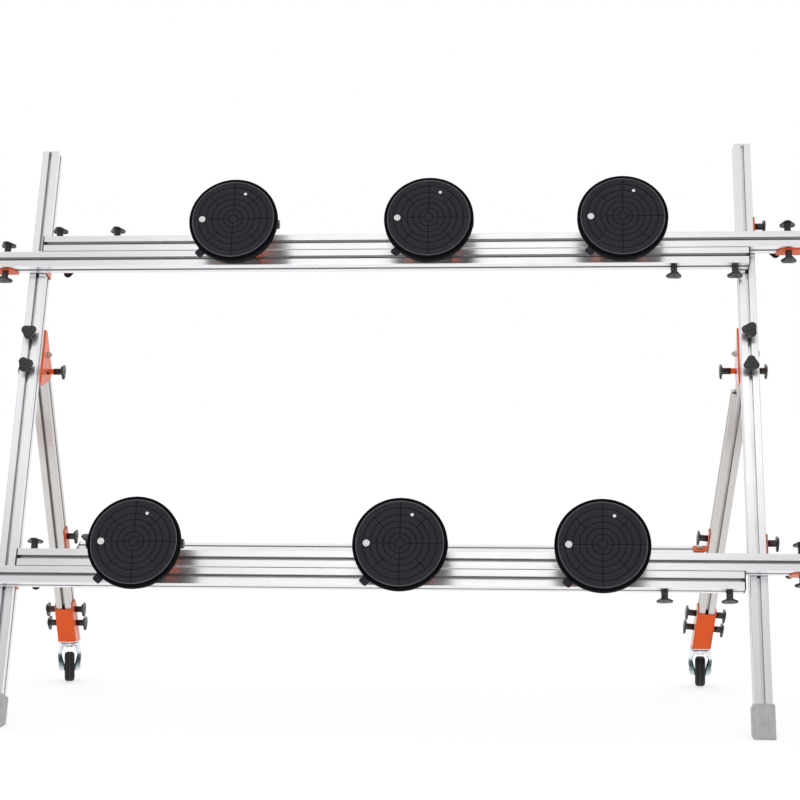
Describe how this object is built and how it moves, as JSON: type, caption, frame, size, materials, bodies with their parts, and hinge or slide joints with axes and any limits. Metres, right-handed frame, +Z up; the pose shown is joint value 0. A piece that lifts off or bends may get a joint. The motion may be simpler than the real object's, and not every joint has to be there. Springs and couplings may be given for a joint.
{
  "type": "tile carrying frame",
  "caption": "Leaning frame of sliding T-slot bars with pump-up suction cups for holding a large tile, on folding rear legs with swivel casters.",
  "frame": {"origin": "on the floor below the middle of the frame's outline, midway between the masts", "axes": "+X along the rails to the right as the tile is faced, -Y toward the tile, +Z up"},
  "size_m": [2.25, 0.7788, 1.3285],
  "materials": {
    "anodised_bar": "silver anodised",
    "orange_paint": "powder coat",
    "knob_plastic": "matte moulded",
    "bolt_steel": "zinc plated",
    "pad_rubber": "matte",
    "shell_plastic": "matte moulded",
    "plunger_plastic": "satin",
    "zinc_fork": "bright zinc",
    "caster_tyre": "matte tread",
    "foot_rubber": "matte, non-marking grey",
    "cap_plastic": "matte moulded",
    "grip_rubber": "matte"
  },
  "bodies": {
    "stand": {"mast_left": "anodised_bar", "mast_right": "anodised_bar", "mast_end_caps": "anodised_bar", "mast_feet": "foot_rubber", "hinge_brackets": "orange_paint", "rail_brackets": "orange_paint", "stand_knobs": "knob_plastic", "stand_bolts": "bolt_steel"},
    "upper_right_rail": {"upper_right_bar": "anodised_bar", "upper_right_cap": "cap_plastic", "upper_right_end_bracket": "orange_paint", "upper_right_handle": "grip_rubber", "upper_right_knobs": "knob_plastic", "upper_right_bolts": "bolt_steel", "upper_pad_1": "pad_rubber", "upper_pad_2": "pad_rubber", "upper_pad_3": "pad_rubber", "upper_cup_shells": "shell_plastic", "upper_carriers": "orange_paint"},
    "upper_left_rail": {"upper_left_bar": "anodised_bar", "upper_left_cap": "cap_plastic", "upper_left_end_bracket": "orange_paint", "upper_left_handle": "grip_rubber", "upper_left_knobs": "knob_plastic", "upper_left_bolts": "bolt_steel"},
    "lower_right_rail": {"lower_right_bar": "anodised_bar", "lower_right_cap": "cap_plastic", "lower_right_end_bracket": "orange_paint", "lower_right_handle": "grip_rubber", "lower_right_knobs": "knob_plastic", "lower_right_bolts": "bolt_steel", "lower_pad_1": "pad_rubber", "lower_pad_2": "pad_rubber", "lower_pad_3": "pad_rubber", "lower_cup_shells": "shell_plastic", "lower_carriers": "orange_paint"},
    "lower_left_rail": {"lower_left_bar": "anodised_bar", "lower_left_cap": "cap_plastic", "lower_left_end_bracket": "orange_paint", "lower_left_handle": "grip_rubber", "lower_left_knobs": "knob_plastic", "lower_left_bolts": "bolt_steel"},
    "rear_frame": {"leg_left": "anodised_bar", "leg_right": "anodised_bar", "stretcher": "anodised_bar", "stretcher_brackets": "orange_paint", "caster_brackets": "orange_paint", "rear_knobs": "knob_plastic", "rear_bolts": "bolt_steel", "caster_kingpins": "bolt_steel"},
    "caster_left": {"caster_fork_left": "zinc_fork"},
    "wheel_left": {"caster_wheel_left": "caster_tyre"},
    "caster_right": {"caster_fork_right": "zinc_fork"},
    "wheel_right": {"caster_wheel_right": "caster_tyre"},
    "upper_pump_1": {"upper_plunger_1": "plunger_plastic"},
    "upper_pump_2": {"upper_plunger_2": "plunger_plastic"},
    "upper_pump_3": {"upper_plunger_3": "plunger_plastic"},
    "lower_pump_1": {"lower_plunger_1": "plunger_plastic"},
    "lower_pump_2": {"lower_plunger_2": "plunger_plastic"},
    "lower_pump_3": {"lower_plunger_3": "plunger_plastic"}
  },
  "joints": [
    {"name": "upper_right_slide", "type": "slide", "parent": "stand", "child": "upper_right_rail", "axis": [1, 0, 0], "range_m": [0, 0.6]},
    {"name": "upper_left_slide", "type": "slide", "parent": "stand", "child": "upper_left_rail", "axis": [-1, 0, 0], "range_m": [0, 0.6]},
    {"name": "lower_right_slide", "type": "slide", "parent": "stand", "child": "lower_right_rail", "axis": [1, 0, 0], "range_m": [0, 0.6]},
    {"name": "lower_left_slide", "type": "slide", "parent": "stand", "child": "lower_left_rail", "axis": [-1, 0, 0], "range_m": [0, 0.6]},
    {"name": "rear_frame_fold", "type": "hinge", "parent": "stand", "child": "rear_frame", "pos_m": [0, 0.04636, 0.82505], "axis": [-1, 0, 0], "range_deg": [0, 36]},
    {"name": "caster_swivel_left", "type": "hinge", "parent": "rear_frame", "child": "caster_left", "pos_m": [-0.84, 0.32468, 0.09], "axis": [0, 0, 1], "continuous": true},
    {"name": "wheel_spin_left", "type": "hinge", "parent": "caster_left", "child": "wheel_left", "pos_m": [-0.83327, 0.29956, 0.0375], "axis": [0.9659, 0.2588, 0], "continuous": true},
    {"name": "caster_swivel_right", "type": "hinge", "parent": "rear_frame", "child": "caster_right", "pos_m": [0.75837, 0.32468, 0.09], "axis": [0, 0, 1], "continuous": true},
    {"name": "wheel_spin_right", "type": "hinge", "parent": "caster_right", "child": "wheel_right", "pos_m": [0.76019, 0.35061, 0.0375], "axis": [0.9976, -0.0698, 0], "continuous": true},
    {"name": "upper_pump_press_1", "type": "slide", "parent": "upper_right_rail", "child": "upper_pump_1", "axis": [-1, 0, 0], "range_m": [0, 0.024], "stiffness_N_per_m": 300},
    {"name": "upper_pump_press_2", "type": "slide", "parent": "upper_right_rail", "child": "upper_pump_2", "axis": [-1, 0, 0], "range_m": [0, 0.024], "stiffness_N_per_m": 300},
    {"name": "upper_pump_press_3", "type": "slide", "parent": "upper_right_rail", "child": "upper_pump_3", "axis": [-1, 0, 0], "range_m": [0, 0.024], "stiffness_N_per_m": 300},
    {"name": "lower_pump_press_1", "type": "slide", "parent": "lower_right_rail", "child": "lower_pump_1", "axis": [-1, 0, 0], "range_m": [0, 0.024], "stiffness_N_per_m": 300},
    {"name": "lower_pump_press_2", "type": "slide", "parent": "lower_right_rail", "child": "lower_pump_2", "axis": [-1, 0, 0], "range_m": [0, 0.024], "stiffness_N_per_m": 300},
    {"name": "lower_pump_press_3", "type": "slide", "parent": "lower_right_rail", "child": "lower_pump_3", "axis": [-1, 0, 0], "range_m": [0, 0.024], "stiffness_N_per_m": 300}
  ]
}
